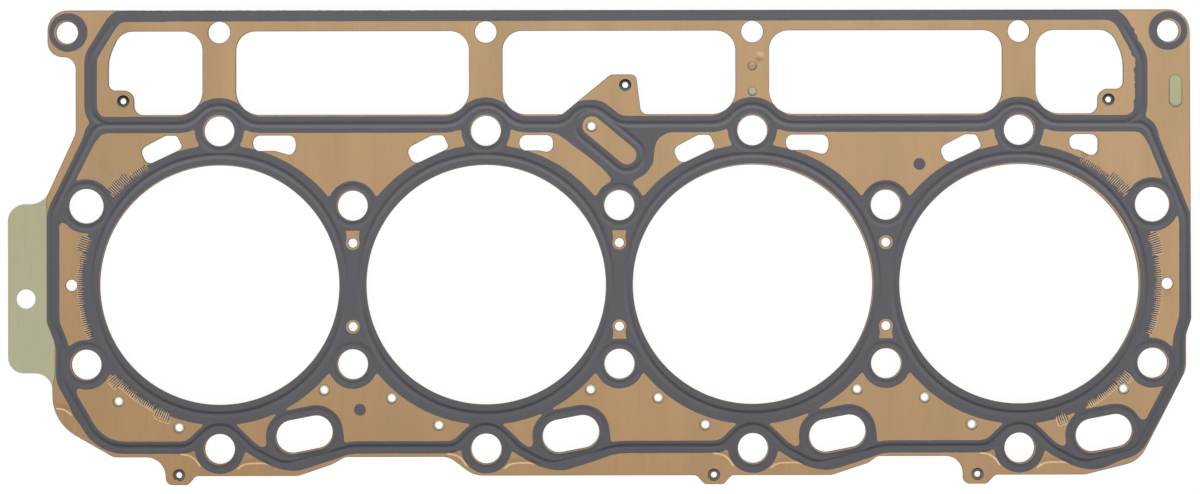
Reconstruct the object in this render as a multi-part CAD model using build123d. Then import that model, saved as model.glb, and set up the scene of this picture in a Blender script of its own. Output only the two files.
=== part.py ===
from build123d import *
import os
from math import radians, tan

# Multi-layer steel cylinder head gasket for one bank of four cylinders.
# Frame: +X runs along the cylinder row, +Y points to the pushrod side, +Z is up.
# The origin lies midway between the two middle cylinders, where the gasket rests.
# All sizes are in millimetres.
# The three sheets share nearly every opening, so they are joined into one solid here,
# which keeps each sheet's own outline, level, beads and inspection holes.

# Cylinder row
cylinder_count = 4
cylinder_pitch = 116.0
combustion_opening_d = 104.2
cylinder_x = [(i - (cylinder_count - 1) / 2) * cylinder_pitch for i in range(cylinder_count)]
web_x = [x - cylinder_pitch / 2 for x in cylinder_x[1:]]

# Sheet stack, from the bottom up
active_layer_t = 0.25
carrier_t = 0.60
bead_h = 0.20
bead_half_w = 1.5
bore_bead_land = 4.9
bore_bead_flat_land = 3.4

# Main bolt holes
bolt_hole_d = 13.0
dowel_hole_d = 15.0
top_bolt_y = 67.0
middle_bolt_y = 34.5
bottom_bolt_y = -71.3
end_bolt_x = 2 * cylinder_pitch
left_end = -end_bolt_x
right_end = end_bolt_x

# Small bolt holes of the pushrod rail
rail_hole_d = 9.5
rail_hole_y = 110.0
left_ear_x = left_end - 8.2
right_ear_x = right_end + 7.0

# Windows for pushrods and oil return
window_top_y = 110.5
window_bottom_y = 74.1
window_web_w = 14.6
window_top_r = 8.4
window_bottom_r = 10.4
end_window_trim = 2.8
rivet_boss_r = 4.7
tongue_top_y = 91.4

# Coolant and oil passages
coolant_top_y = 65.1
oil_slot_w = 14.2
oil_slot_l = 24.7
oil_slot_tilt = 11.0
oil_slot_offset = (36.8, -64.9)
web_vent_d = 4.0
web_vent_y = 18.2
end_vent_d = 5.0
end_vent_x = end_bolt_x + 6.5
weep_d = 2.9
weep_sides = 6
gallery_weep = (-12.0, 68.9)

# Fixing eyelets that clamp the layers together
eyelet_bore_d = 2.6
eyelet_wall = 0.35
eyelet_flange_d = 5.4
eyelet_flange_t = 0.15
eyelet_sides = 6
small_hole_sides = 8

# Locating tab of the carrier
tab_reach = 29.7
tab_hole_d = 8.4
tab_hole_in = 7.8
tab_hole_y = -5.9

# Inspection features
check_hole_d = 3.6
check_hole_x = cylinder_pitch / 2
carrier_check_y = 84.0
stack_check_y = 95.1
code_slot_at = (right_end + 10.2, 83.9)
code_slot_l = 13.8
code_slot_w = 5.4

# Outer edge
left_edge_x = left_end - 4.5
right_edge_x = right_end + 16.9
top_edge_y = 119.7
rail_edge_y = -83.1
waist_edge_y = -74.9
foot_edge_y = -87.0


def rounded(corners):
    """A flat face whose outline has the corners (x, y, corner radius)."""
    points = [(x, y) for x, y, _ in corners]
    radii = [r for _, _, r in corners]
    return make_face(FilletPolyline(*points, radius=radii, close=True))


def faceted(corners):
    """Like rounded, with two facets in place of each corner's arc, for repeated small openings."""
    points = []
    for before, corner, after in zip(corners[-1:] + corners, corners, corners[1:] + corners[:1]):
        here = Vector(*corner[:2])
        back = (Vector(*before[:2]) - here).normalized()
        ahead = (Vector(*after[:2]) - here).normalized()
        half_angle = radians(back.get_angle(ahead) / 2)
        reach = corner[2] / tan(half_angle)
        middle = (back + ahead).normalized()
        depth = (reach**2 + corner[2] ** 2) ** 0.5 - corner[2]
        points += [here + back * reach, here + middle * depth, here + ahead * reach]
    return make_face(Polyline(*points, close=True))


def trail(corners):
    """A closed bead line whose corners are (x, y, bend radius)."""
    return rounded(corners).face().outer_wire()


# Outline, from the left ear round to the top right corner
ear_edge_x = left_ear_x - 8.5
left_shoulder = [
    (ear_edge_x, top_edge_y, 8.8),
    (ear_edge_x, 99.4, 6.5),
    (left_edge_x, 99.4, 5.3),
    (left_edge_x, 66.2, 8.0),
]
active_edge_x = left_end - 17.3
slant_end = (left_end - 18.7, 35.4)
slant_slope = (66.2 - slant_end[1]) / (left_edge_x - slant_end[0])
foot_edge_x = left_end - 14.9
active_left_edge = [
    (active_edge_x, slant_end[1] + slant_slope * (active_edge_x - slant_end[0]), 12.0),
    (active_edge_x, -16.2, 5.0),
    (left_end - 13.8, -25.0, 8.0),
    (left_end - 13.8, -38.0, 4.0),
    (foot_edge_x, -44.5, 4.0),
]
tab_edge_x = left_edge_x - tab_reach
carrier_left_edge = [
    (*slant_end, 9.0),
    (tab_edge_x, 35.4, 7.5),
    (tab_edge_x, -38.3, 7.0),
    (foot_edge_x, -38.3, 7.5),
]
first_x, second_x, third_x, last_x = cylinder_x
foot_and_right_edge = [
    (foot_edge_x, -59.6, 20.0),
    (left_end + 11.8, waist_edge_y, 5.0),
    (first_x - 23.6, waist_edge_y, 8.5),
    (first_x - 23.6, foot_edge_y, 3.0),
    (first_x - 13.9, foot_edge_y, 2.5),
    (first_x - 10.6, rail_edge_y, 3.0),
    (first_x + 34.1, rail_edge_y, 6.0),
    (first_x + 48.6, -78.2, 6.0),
    (first_x + 54.6, waist_edge_y, 5.0),
    (second_x - 16.3, waist_edge_y, 9.0),
    (second_x - 5.5, rail_edge_y, 12.0),
    (third_x - 24.6, rail_edge_y, 2.5),
    (third_x - 21.0, foot_edge_y, 2.0),
    (third_x - 12.8, foot_edge_y, 2.0),
    (third_x - 9.2, rail_edge_y, 2.5),
    (third_x + 34.3, rail_edge_y, 6.0),
    (third_x + 50.3, -77.8, 4.0),
    (third_x + 54.2, waist_edge_y, 4.0),
    (last_x - 24.6, waist_edge_y, 7.5),
    (last_x - 24.6, foot_edge_y, 3.0),
    (last_x - 14.2, foot_edge_y, 2.5),
    (last_x - 10.6, rail_edge_y, 3.0),
    (last_x + 28.5, rail_edge_y, 8.0),
    (right_end - 5.8, -77.3, 13.0),
    (right_end + 14.6, -37.5, 10.0),
    (right_end + 14.6, -22.2, 5.0),
    (right_edge_x, -15.5, 5.0),
    (right_edge_x - 0.5, top_edge_y - 0.4, 9.5),
]
active_outline = left_shoulder + active_left_edge + foot_and_right_edge
carrier_outline = left_shoulder + carrier_left_edge + foot_and_right_edge

# Eyelet places: two in the end windows, one on the tongue, three in the foot lobes
end_eyelet_reach = 41.8
end_eyelet_y = 80.1
tongue_eyelet = (2.7, 86.8)
eyelet_at = [
    (cylinder_x[0] - end_eyelet_reach, end_eyelet_y),
    tongue_eyelet,
    (cylinder_x[-1] + end_eyelet_reach - end_window_trim, end_eyelet_y),
    (first_x - 17.8, foot_edge_y + 4.3),
    (third_x - 17.0, foot_edge_y + 4.1),
    (last_x - 18.3, foot_edge_y + 4.2),
]


def plain_window(left, right):
    """A rail window with tighter corners at the top than at the bottom."""
    return rounded(
        [
            (left, window_top_y, window_top_r),
            (right, window_top_y, window_top_r),
            (right, window_bottom_y, window_bottom_r),
            (left, window_bottom_y, window_bottom_r),
        ]
    )


def tongue_window(left, right):
    """The middle window, with a slanted tongue that carries an eyelet into it."""
    return rounded(
        [
            (left, window_top_y, window_top_r),
            (right, window_top_y, window_top_r),
            (right, window_bottom_y, window_bottom_r),
            (9.6, window_bottom_y, 3.0),
            (7.4, tongue_top_y, 2.5),
            (-3.7, tongue_top_y, 4.0),
            (-24.8, window_bottom_y, 1.5),
            (left, window_bottom_y, window_bottom_r),
        ]
    )


def end_window(side, trim):
    """An end window with a slanted outer side and a boss round its eyelet."""
    end_x = cylinder_x[-1]
    inner = end_x + window_web_w / 2
    eyelet = end_x + end_eyelet_reach - trim
    boss_inner = eyelet - rivet_boss_r
    boss_top = end_eyelet_y + rivet_boss_r
    outer = eyelet + 6.4
    corners = [
        (inner, window_top_y, window_top_r),
        (inner, window_bottom_y, window_bottom_r),
        (boss_inner, window_bottom_y, 4.0),
        (boss_inner, boss_top, 4.5),
        (outer, boss_top, 3.0),
        (outer, 99.0, 20.0),
        (eyelet + 1.1, window_top_y, 8.0),
    ]
    return rounded([(side * x, y, r) for x, y, r in corners])


def passage_left_of_bolt(x):
    """The slanted coolant passage beside the cylinder at x."""
    return faceted(
        [
            (x - 34.7, 59.2, 3.0),
            (x - 23.5, coolant_top_y, 3.0),
            (x - 18.5, coolant_top_y, 1.8),
            (x - 15.9, 59.6, 1.8),
            (x - 31.6, 52.2, 3.0),
        ]
    )


def passage_right_of_bolt(x, left, step, right, lobe_y):
    """The flat coolant passage with a lobe at its outer lower corner."""
    return faceted(
        [
            (x + left, coolant_top_y, 3.0),
            (x + right, coolant_top_y, 3.0),
            (x + right, lobe_y, 2.8),
            (x + step, 58.4, 4.0),
            (x + left, 58.4, 3.0),
        ]
    )


def circles(places, diameter):
    """Round holes of one diameter."""
    return [Pos(x, y) * Circle(diameter / 2) for x, y in places]


def small_holes(places, diameter, sides=small_hole_sides):
    """Punched holes too small to show their few sides."""
    hole = RegularPolygon(diameter / 2, sides, major_radius=False)
    return [Pos(x, y) * hole for x, y in places]


top_row = [(x, top_bolt_y) for x in cylinder_x]
bottom_row = [(x, bottom_bolt_y) for x in cylinder_x]
web_rows = [(x, y) for x in web_x for y in (middle_bolt_y, -middle_bolt_y)]
lower_ends = [(side * end_bolt_x, -middle_bolt_y) for side in (-1, 1)]
dowel_ends = [(side * end_bolt_x, middle_bolt_y) for side in (-1, 1)]
rail_row = [(x, rail_hole_y) for x in [left_ear_x] + cylinder_x + [right_ear_x]]
web_vents = [(x, y) for x in web_x for y in (web_vent_y, -web_vent_y)]
end_vents = [(side * end_vent_x, 0) for side in (-1, 1)]
weeps = [gallery_weep, (cylinder_x[0] - 44.1, -50.5), (cylinder_x[0] - 17.8, -62.0)]
for x in cylinder_x:
    weeps.append((x + 45.4, -45.7))
for x in cylinder_x[1:]:
    weeps.append((x - 41.2, -49.3))
    weeps.append((x - 20.7, -61.1))

shared_holes = circles([(x, 0) for x in cylinder_x], combustion_opening_d)
shared_holes += circles(top_row + bottom_row + web_rows + lower_ends, bolt_hole_d)
shared_holes += circles(dowel_ends, dowel_hole_d)
shared_holes += circles(rail_row, rail_hole_d)
shared_holes += small_holes(web_vents, web_vent_d)
shared_holes += small_holes(end_vents, end_vent_d)
for x in cylinder_x:
    slot = Rot(0, 0, oil_slot_tilt) * SlotOverall(oil_slot_l, oil_slot_w)
    shared_holes.append(Pos(x + oil_slot_offset[0], oil_slot_offset[1]) * slot)
    shared_holes.append(passage_left_of_bolt(x))
shared_holes.append(passage_right_of_bolt(cylinder_x[0], 14.6, 24.2, 33.1, 55.8))
shared_holes.append(passage_right_of_bolt(cylinder_x[1], 14.6, 23.0, 29.2, 57.3))
shared_holes.append(passage_right_of_bolt(cylinder_x[2], 14.6, 24.2, 33.1, 55.8))
shared_holes.append(passage_right_of_bolt(cylinder_x[3], 22.0, 26.0, 34.4, 54.2))
half_web = window_web_w / 2
shared_holes.append(plain_window(first_x + half_web, second_x - half_web))
shared_holes.append(tongue_window(second_x + half_web, third_x - half_web))
shared_holes.append(plain_window(third_x + half_web, last_x - half_web))
shared_holes.append(end_window(-1, 0.0))
shared_holes.append(end_window(1, end_window_trim))


def bore_bead_path(x):
    """The combustion bead: a circle with four flats, so that neighbours clear each other."""
    flat = combustion_opening_d / 2 + bore_bead_flat_land
    ring = Circle(combustion_opening_d / 2 + bore_bead_land) & Rectangle(2 * flat, 2 * flat)
    ring = fillet(ring.vertices(), 20.0)
    return (Pos(x, 0) * ring).face().outer_wire()


def coolant_bead_path():
    """The closed bead round the whole coolant area."""
    corners = [(left_end + 4.5, 69.8, 6.0), (left_end - 14.4, 32.0, 10.0)]
    corners += [(left_end - 14.4, -16.5, 8.0), (left_end - 10.4, -26.0, 8.0)]
    corners += [(left_end - 10.8, -41.2, 10.0), (left_end + 6.0, -70.7, 18.0)]
    for x in cylinder_x:
        corners += [(x - 13.4, -70.7, 7.0), (x - 4.1, -61.4, 9.7)]
        corners += [(x + 4.1, -61.4, 9.7), (x + 14.0, -71.3, 8.0), (x + 27.0, -78.3, 10.0)]
        if x < cylinder_x[-1]:
            corners += [(x + 57.5, -70.7, 16.0)]
    corners += [(right_end - 7.0, -72.3, 10.0), (right_end + 11.5, -37.6, 10.0)]
    corners += [(right_end + 11.5, -24.0, 8.0), (right_end + 14.4, -14.5, 8.0)]
    corners += [(right_end + 14.4, 29.0, 10.0), (right_end - 2.4, 69.8, 6.0)]
    for x in reversed(cylinder_x):
        corners += [(x + 12.8, 69.8, 11.0), (x + 4.6, 78.0, 10.8)]
        corners += [(x - 4.6, 78.0, 10.8), (x - 12.8, 69.8, 11.0)]
        if x == cylinder_x[2]:
            corners += [(0.0, 69.8, 8.0), (-9.6, 76.8, 6.0), (-17.0, 76.8, 6.0), (-24.0, 69.8, 8.0)]
    return trail(corners)


def bead(path, z, height):
    """A raised bead of V section along a bead line, standing on the plane z."""
    start = path @ 0
    along = path % 0
    section = Plane((start.X, start.Y, z), x_dir=(-along.Y, along.X, 0), z_dir=along)
    profile = make_face(Polyline((-bead_half_w, 0), (0, height), (bead_half_w, 0), close=True))
    return sweep(section * profile, path=Pos(0, 0, z) * path)


bead_paths = [bore_bead_path(x) for x in cylinder_x] + [coolant_bead_path()]


def sheet(outline, holes, z, thickness):
    """One flat steel sheet with its lower face at z."""
    return extrude(Pos(0, 0, z) * (rounded(outline) - holes), thickness)


def eyelet_blank(radius):
    """The few-sided section of an eyelet at one radius."""
    return RegularPolygon(radius, eyelet_sides)


def eyelet(x, y, z_low, z_high):
    """A hollow eyelet: a lower flange set flush in the bottom sheet and one on the top sheet."""
    flange = extrude(eyelet_blank(eyelet_flange_d / 2), eyelet_flange_t)
    barrel = extrude(Pos(0, 0, z_low) * eyelet_blank(eyelet_barrel_r), z_high - z_low)
    solid = barrel + Pos(0, 0, z_low - eyelet_flange_t) * flange + Pos(0, 0, z_high) * flange
    bore = extrude(eyelet_blank(eyelet_bore_d / 2), z_high + 1)
    return Pos(x, y) * (solid - bore)


carrier_z = active_layer_t
top_z = carrier_z + carrier_t
stack_z = top_z + active_layer_t

eyelet_barrel_r = eyelet_bore_d / 2 + eyelet_wall
shared_holes += [Pos(x, y) * eyelet_blank(eyelet_barrel_r) for x, y in eyelet_at]
stack_check = small_holes([(check_hole_x, stack_check_y)], check_hole_d)
carrier_check = small_holes([(check_hole_x, carrier_check_y)], check_hole_d)
code_slot = Pos(*code_slot_at) * Rot(0, 0, 90) * SlotOverall(code_slot_l, code_slot_w)

shared_holes += small_holes(weeps, weep_d, weep_sides)
carrier_holes = shared_holes + circles([(tab_edge_x + tab_hole_in, tab_hole_y)], tab_hole_d) + stack_check
top_holes = shared_holes + stack_check + carrier_check + [code_slot]

layers = sheet(active_outline, shared_holes, 0, active_layer_t)
layers += sheet(carrier_outline, carrier_holes, carrier_z, carrier_t)
layers += sheet(active_outline, top_holes, top_z, active_layer_t)
for path in bead_paths:
    layers += bead(path, stack_z, bead_h)
for x, y in eyelet_at:
    layers -= Pos(x, y) * extrude(eyelet_blank(eyelet_flange_d / 2), eyelet_flange_t)

parts = {"steel_layers": layers}
for number, (x, y) in enumerate(eyelet_at, start=1):
    parts[f"eyelet_{number}"] = eyelet(x, y, eyelet_flange_t, stack_z)

os.makedirs("parts", exist_ok=True)
for name, solid in parts.items():
    export_step(solid, f"parts/{name}.step")
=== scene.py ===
# %% [markdown]
# # A multi-layer steel cylinder head gasket
# The real part is three thin sheets of spring steel, held together by six small eyelets.
# The upper sheet has a bronze lacquer, and a dark grey rubber coating printed round every opening.
# This lesson slices the CAD solid to get the sheets' true outlines, and then presses beads into them.

import math
import random

import bmesh
import bpy
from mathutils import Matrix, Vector, kdtree
from mathutils.geometry import delaunay_2d_cdt


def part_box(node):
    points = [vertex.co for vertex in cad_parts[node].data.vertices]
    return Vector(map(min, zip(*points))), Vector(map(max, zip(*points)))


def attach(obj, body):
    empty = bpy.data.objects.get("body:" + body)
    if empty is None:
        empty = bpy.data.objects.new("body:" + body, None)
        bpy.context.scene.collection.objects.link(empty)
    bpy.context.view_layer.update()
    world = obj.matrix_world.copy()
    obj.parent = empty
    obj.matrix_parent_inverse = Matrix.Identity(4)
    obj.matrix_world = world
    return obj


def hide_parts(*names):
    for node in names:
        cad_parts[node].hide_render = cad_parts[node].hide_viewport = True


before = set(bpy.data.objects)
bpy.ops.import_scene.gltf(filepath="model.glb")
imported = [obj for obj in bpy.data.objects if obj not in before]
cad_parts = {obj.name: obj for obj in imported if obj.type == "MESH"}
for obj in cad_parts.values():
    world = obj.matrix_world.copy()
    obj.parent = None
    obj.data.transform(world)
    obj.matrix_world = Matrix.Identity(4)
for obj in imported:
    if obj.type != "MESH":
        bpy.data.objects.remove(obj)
bpy.context.view_layer.update()
sheets_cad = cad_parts["steel_layers"]
MM = 0.001


def placed(name, data):
    """A new object in the scene that shows this data."""
    thing = bpy.data.objects.new(name, data)
    bpy.context.scene.collection.objects.link(thing)
    return thing


print("CAD nodes:", sorted(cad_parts))

# %% [markdown]
# ## Slicing the CAD solid
# The sheets' outlines already exist in the CAD model, so they are read from it, not drawn again.
# Blender's bisect tool cuts a mesh with a plane. With both sides cleared, only the cut line stays.
# Three cuts, one at each sheet's height, give the outline and the holes of each sheet.


# %% Cut lines from the CAD solid
weld_gap = 2e-6
straight_slack = 0.002
slice_heights = (0.975, 0.55, 0.20)


def chain_edges(edges):
    """Closed lines of (x, y) in millimetres, from edges that share their ends."""
    left = dict.fromkeys(edges)
    lines = []
    while left:
        edge = next(iter(left))
        del left[edge]
        first, here = edge.verts
        line = [first]
        while here is not first:
            line.append(here)
            step = next((e for e in here.link_edges if e in left), None)
            if step is None:
                break
            del left[step]
            here = step.other_vert(here)
        lines.append([(v.co.x / MM, v.co.y / MM) for v in line])
    return lines


def welded_copy(node):
    """The node's mesh with its split corners joined again."""
    mesh = bmesh.new()
    mesh.from_mesh(node.data)
    bmesh.ops.remove_doubles(mesh, verts=mesh.verts, dist=weld_gap)
    return mesh


def area_of(line):
    """The signed area inside a closed line."""
    pairs = zip(line, line[1:] + line[:1])
    return sum(a[0] * b[1] - b[0] * a[1] for a, b in pairs) / 2


def neighbours(line):
    """Each point of a closed line with the points before and after it."""
    return zip(line[-1:] + line, line, line[1:] + line[:1])


def drop_straight_points(line):
    """Leaves out the points that lie on a straight run."""
    kept = []
    for before, here, after in neighbours(line):
        ax, ay = here[0] - before[0], here[1] - before[1]
        bx, by = after[0] - before[0], after[1] - before[1]
        if abs(ax * by - ay * bx) > straight_slack * math.hypot(bx, by):
            kept.append(here)
    return kept


def slice_at(height):
    """The closed lines where the sheets cross one height, the outline first."""
    mesh = welded_copy(sheets_cad)
    everything = mesh.verts[:] + mesh.edges[:] + mesh.faces[:]
    level = Vector((0, 0, height * MM))
    cut = bmesh.ops.bisect_plane(
        mesh, geom=everything, plane_co=level, plane_no=(0, 0, 1), clear_inner=True, clear_outer=True
    )
    edges = [e for e in cut["geom_cut"] if isinstance(e, bmesh.types.BMEdge)]
    lines = [drop_straight_points(line) for line in chain_edges(edges)]
    mesh.free()
    return sorted(lines, key=lambda line: -abs(area_of(line)))


top_lines, middle_lines, bottom_lines = [slice_at(height) for height in slice_heights]
print("openings:", len(top_lines) - 1, len(middle_lines) - 1, len(bottom_lines) - 1)

# %% [markdown]
# ## Making the openings smooth
# The CAD solid spends few faces on each opening. Close up, punched holes are truly round, so each line
# that is a circle is drawn again with more points, and each coarse corner gets a proper arc. The lugs
# along the lower edge get small arcs too, because a punch with sharp corners would soon crack.


# %% Rounder holes and corners
roundness = 0.012
coarse_step, coarse_turn = 4.5, 0.2
lug_y, lug_reach = -78.0, 2.4
foot_y, foot_reach = -84.0, 1.7
sharp_turn = 0.35


def centre_of(line):
    """The middle of a closed line."""
    return sum(p[0] for p in line) / len(line), sum(p[1] for p in line) / len(line)


def circle(x, y, radius, count=None):
    """A circle as a closed line."""
    count = count or max(24, min(360, int(radius * 12)))
    turn = 2 * math.pi / count
    return [(x + radius * math.cos(i * turn), y + radius * math.sin(i * turn)) for i in range(count)]


def arc_through(start, middle, end, steps=8):
    """Points between start and end, on the circle through all three."""
    ax, ay = start
    bx, by = middle[0] - ax, middle[1] - ay
    cx, cy = end[0] - ax, end[1] - ay
    twice = 2 * (bx * cy - by * cx)
    ux = (cy * (bx * bx + by * by) - by * (cx * cx + cy * cy)) / twice
    uy = (bx * (cx * cx + cy * cy) - cx * (bx * bx + by * by)) / twice
    radius = math.hypot(ux, uy)
    first = math.atan2(-uy, -ux)
    last = math.atan2(cy - uy, cx - ux)
    sweep = (last - first + math.pi) % (2 * math.pi) - math.pi
    angles = [first + sweep * i / steps for i in range(1, steps)]
    return [(ax + ux + radius * math.cos(a), ay + uy + radius * math.sin(a)) for a in angles]


def smooth_line(line):
    """A sliced line with round holes made round and coarse corners made smooth."""
    x, y = centre_of(line)
    reach = [math.hypot(p[0] - x, p[1] - y) for p in line]
    if len(line) > 5 and max(reach) - min(reach) < roundness * max(reach):
        to_flats = math.cos(math.pi / len(line)) if len(line) < 12 else 1.0
        return circle(x, y, max(reach) * to_flats)
    smooth = []
    for before, here, after in neighbours(line):
        back = math.hypot(here[0] - before[0], here[1] - before[1])
        ahead = math.hypot(after[0] - here[0], after[1] - here[1])
        one = math.atan2(here[1] - before[1], here[0] - before[0])
        two = math.atan2(after[1] - here[1], after[0] - here[0])
        turn = abs((two - one + math.pi) % (2 * math.pi) - math.pi)
        coarse = abs(back - ahead) < 0.03 * ahead and ahead < coarse_step and turn > coarse_turn
        smooth += arc_through(before, here, after) if coarse else [here]
    return smooth


def bend(before, here, after, reach, steps=8):
    """The arc that rounds a corner, starting and ending at this reach from it."""
    corner = Vector(here)
    back = (Vector(before) - corner).normalized()
    ahead = (Vector(after) - corner).normalized()
    radius = reach * math.tan(back.angle(ahead) / 2)
    start, end = tuple(corner + back * reach), tuple(corner + ahead * reach)
    middle = tuple(corner + (back + ahead).normalized() * (math.hypot(radius, reach) - radius))
    return [start] + arc_through(start, middle, end, steps) + [end]


def round_lugs(line):
    """The outline with its sharp corners on the lower lugs bent to small arcs."""
    rounded = []
    for before, here, after in neighbours(line):
        back, ahead = Vector(before) - Vector(here), Vector(after) - Vector(here)
        reach = foot_reach if here[1] < foot_y else lug_reach
        blunt = math.pi - back.angle(ahead) < sharp_turn or min(back.length, ahead.length) < 2 * reach
        rounded += [here] if blunt or here[1] > lug_y else bend(before, here, after, reach)
    return rounded


for lines in (top_lines, middle_lines, bottom_lines):
    lines[:] = [smooth_line(line) for line in lines]
    lines[0] = round_lugs(lines[0])
print("points on the top sheet's lines:", sum(len(line) for line in top_lines))

# %% [markdown]
# ## The beads
# A bead is a low ridge pressed into the sheet, about 3 mm wide and 0.2 mm high. The head and the block
# flatten it like a spring, and that seals. The CAD solid has each bead as a sharp ridge, so the mesh
# edges at the greatest height are the bead lines. They are spread evenly and smoothed a little, and the
# height then follows a cosine across the line, because pressed steel has no sharp crest.
# The CAD solid cuts each cylinder's bead off straight where it comes near another. The real one flows
# past in a curve, so a short formula draws these four.

# %% Bead lines from the CAD ridges
stack_top = 1.10
bead_height = 0.20
bead_half_widths = (1.5, 1.5)
bead_step = 0.8
crest_slack = 0.002


def crest_lines():
    """The lines that run along the crests of the CAD beads."""
    mesh = welded_copy(sheets_cad)
    level = (stack_top + bead_height - crest_slack) * MM
    edges = [e for e in mesh.edges if all(v.co.z > level for v in e.verts)]
    lines = chain_edges(edges)
    mesh.free()
    return lines


def spread(line, step, closed=True):
    """The same line with points at even distances."""
    ends = line + line[:1] if closed else line
    lengths = [math.dist(a, b) for a, b in zip(ends, ends[1:])]
    total = sum(lengths)
    count = max(3, round(total / step))
    marks = [total * i / count for i in range(count if closed else count + 1)]
    points = []
    index, passed = 0, 0.0
    for mark in marks:
        while index < len(lengths) - 1 and passed + lengths[index] < mark:
            passed += lengths[index]
            index += 1
        share = (mark - passed) / lengths[index]
        a, b = ends[index], ends[index + 1]
        points.append((a[0] + (b[0] - a[0]) * share, a[1] + (b[1] - a[1]) * share))
    return points


def soften(line, reach, closed=True):
    """Each point moved to the middle of its neighbours within reach points."""
    count = len(line)
    softer = []
    for i in range(count):
        if closed:
            near = [line[(i + k) % count] for k in range(-reach, reach + 1)]
        else:
            room = min(reach, i, count - 1 - i)
            near = line[i - room : i + room + 1]
        softer.append(centre_of(near))
    return softer


ridges = [soften(spread(line, bead_step), 2) for line in crest_lines()]
coolant_bead = max(ridges, key=lambda line: abs(area_of(line)))
cylinder_x = [-174.0, -58.0, 58.0, 174.0]
bore_bead_radius = 56.4
web_squeeze = 1.6


def polar(x, radius, degrees):
    """A point at this radius and angle about the cylinder at x."""
    angle = math.radians(degrees)
    return x + radius * math.cos(angle), radius * math.sin(angle)


def bore_bead(x):
    """The bead round one cylinder: a circle drawn in a little beside its neighbours."""
    line = []
    for degrees in range(360):
        beside_web = math.cos(math.radians(degrees)) ** 4
        line.append(polar(x, bore_bead_radius - web_squeeze * beside_web, degrees))
    return line


bore_beads = [bore_bead(x) for x in cylinder_x]
bead_lines = [coolant_bead] + bore_beads
print("bead lines:", [len(line) for line in bead_lines])

# %% [markdown]
# ## Setting out a line
# A line with bent corners is made from a few corner points, each with its bend radius, in the way that
# a draughtsman would set it out. A long round shape is a half circle about each of two points.


# %% Lines with bent corners
def bent_line(corners):
    """An open line through (x, y, bend radius) corners with an arc at each bend."""
    places = [corner[:2] for corner in corners]
    line = places[:1]
    for before, here, after, (_, _, radius) in zip(places, places[1:], places[2:], corners[1:]):
        back, ahead = Vector(before) - Vector(here), Vector(after) - Vector(here)
        line += bend(before, here, after, radius / math.tan(back.angle(ahead) / 2), 10)
    return line + places[-1:]


def capsule(ax, ay, bx, by, radius, count=24):
    """A closed line with round ends about two points."""
    lean = math.atan2(by - ay, bx - ax)
    points = []
    for cx, cy, first in ((ax, ay, lean + math.pi / 2), (bx, by, lean - math.pi / 2)):
        for i in range(count + 1):
            angle = first + math.pi * i / count
            points.append((cx + radius * math.cos(angle), cy + radius * math.sin(angle)))
    return points


# %% [markdown]
# ## Beads that only the scene has
# Besides the deep ridges in the CAD solid, the sheet has finer pressed lines: one up each end of the
# rail windows, one round each oil slot, one round the fixing eyelet between the middle cylinders, and a
# soft ring round each bolt hole. They are lower than the main beads, because they only steady the sheet.

# %% Beads beside the end windows, the slots and the bolt holes
strip_height, ring_height = 0.17, 0.10
ring_step, ring_half_widths = 1.0, (1.4, 1.4)
web_x = [-116.0, 0.0, 116.0]
end_bolt_x = 232.0
end_x = (-end_bolt_x, end_bolt_x)
left_window = [(-216.0, 69.8, 0), (-230.0, 69.8, 8.0), (-230.0, 99.5, 9.0)]
right_window = [(214.0, 69.8, 0), (227.3, 69.8, 8.0), (227.3, 98.6, 9.0)]
slot_tilt = math.radians(11.0)
slot_reach = (24.7 - 14.2) / 2
slot_dx, slot_dy = slot_reach * math.cos(slot_tilt), slot_reach * math.sin(slot_tilt)
slot_middles = [(x + 36.8, -64.9) for x in cylinder_x]
slots = [(x - slot_dx, y - slot_dy, x + slot_dx, y + slot_dy) for x, y in slot_middles]
island = (-11.8, 69.1, 3.4, 56.4)

fine_beads = []
for corners in (left_window + [(-219.8, 115.4, 0)], right_window + [(218.6, 113.9, 0)]):
    strip = soften(spread(bent_line(corners), bead_step, False), 3, False)
    fine_beads.append((strip, strip_height, bead_half_widths, False))
fine_beads.append((spread(capsule(*island, 7.1), bead_step), strip_height, bead_half_widths, True))
for ends in slots:
    fine_beads.append((spread(capsule(*ends, 9.4), ring_step), ring_height, bead_half_widths, True))

upper_web_y, lower_web_y = 34.5, -34.5
top_bolt_y, bottom_bolt_y = 67.0, -71.3
bolt_holes = [(x, top_bolt_y) for x in cylinder_x] + [(x, bottom_bolt_y) for x in cylinder_x]
bolt_holes += [(x, y) for x in web_x for y in (upper_web_y, lower_web_y)]
bolt_holes += [(x, lower_web_y) for x in end_x]
dowel_holes = [(x, upper_web_y) for x in end_x]
for holes, radius in ((bolt_holes, 8.5), (dowel_holes, 9.5)):
    for x, y in holes:
        fine_beads.append((spread(circle(x, y, radius), ring_step), ring_height, ring_half_widths, True))
print("finer beads:", len(fine_beads))

# %% [markdown]
# ## Marks from the press tool
# Beside the outer cylinders the tool presses a field of fine radial teeth into the sheet, to hold it
# back against the cylinder's pull. Each tooth is a short low ridge. The field ends in steps, so it is
# listed as a few arcs, each with its reach. The tool also leaves faint creases beside the lower bolts,
# and one small dent by the inspection holes.


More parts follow.
